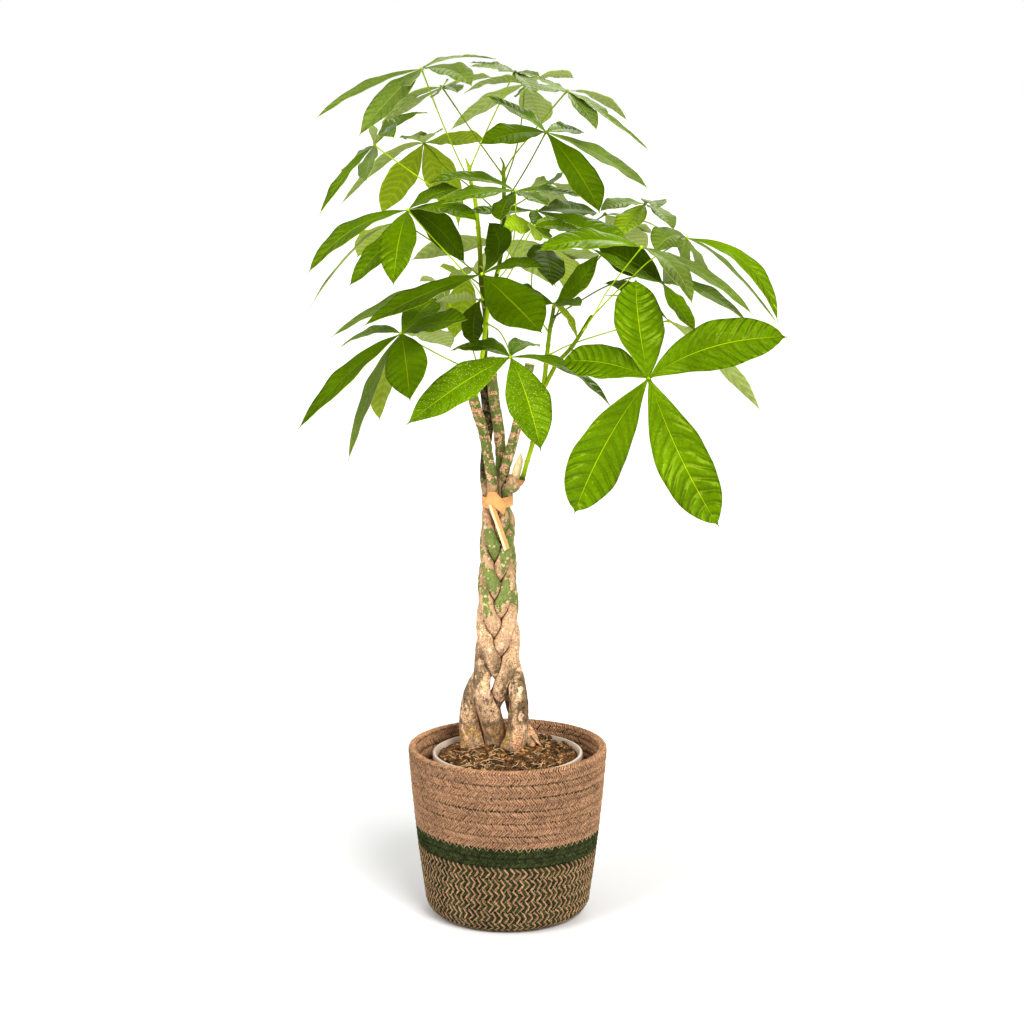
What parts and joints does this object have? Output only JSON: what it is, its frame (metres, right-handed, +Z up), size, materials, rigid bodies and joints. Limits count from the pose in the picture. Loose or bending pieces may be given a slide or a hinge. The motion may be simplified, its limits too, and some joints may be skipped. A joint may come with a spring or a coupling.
{
  "type": "potted money tree",
  "caption": "Plaited-trunk money tree with palmate leaves on green shoots, in a plastic nursery pot inside a tapered corded basket with a green band.",
  "frame": {"origin": "centre of the basket's flat underside", "axes": "+Z up along the height, -Y towards the side the picture shows, +X to that view's right"},
  "size_m": [0.4721, 0.3358, 0.8609],
  "materials": {
    "cord_tan": "matt woven cord, tan",
    "cord_green": "matt woven cord, dark green",
    "cord_zigzag": "matt woven cord, tan and dark green zigzag",
    "pot_plastic": "satin, off-white",
    "soil": "dry crumbly soil, matt",
    "bark": "smooth bark, tan with green and grey patches, matt",
    "raffia": "flat straw-coloured strip, semi-matt",
    "shoot": "smooth green stem, satin",
    "leaf": "thin leaf, waxy satin"
  },
  "bodies": {
    "root": {"basket_tan": "cord_tan", "basket_green": "cord_green", "basket_zigzag": "cord_zigzag", "nursery_pot": "pot_plastic", "soil": "soil", "trunk_back": "bark", "trunk_left": "bark", "trunk_middle": "bark", "trunk_right": "bark", "trunk_front": "bark", "raffia_tie": "raffia", "shoot_left": "shoot", "shoot_middle": "shoot", "shoot_right": "shoot", "shoot_outer": "shoot", "leaf_01": "leaf", "leaf_02": "leaf", "leaf_03": "leaf", "leaf_04": "leaf", "leaf_05": "leaf", "leaf_06": "leaf", "leaf_07": "leaf", "leaf_08": "leaf", "leaf_09": "leaf", "leaf_10": "leaf", "leaf_11": "leaf", "leaf_12": "leaf", "leaf_13": "leaf", "leaf_14": "leaf", "leaf_15": "leaf", "leaf_16": "leaf", "leaf_17": "leaf", "leaf_18": "leaf", "leaf_19": "leaf", "leaf_20": "leaf", "leaf_21": "leaf", "leaf_22": "leaf", "leaf_23": "leaf", "leaf_24": "leaf", "leaf_25": "leaf", "leaf_26": "leaf", "leaf_27": "leaf", "leaf_28": "leaf", "leaf_29": "leaf", "leaf_30": "leaf"}
  },
  "joints": []
}
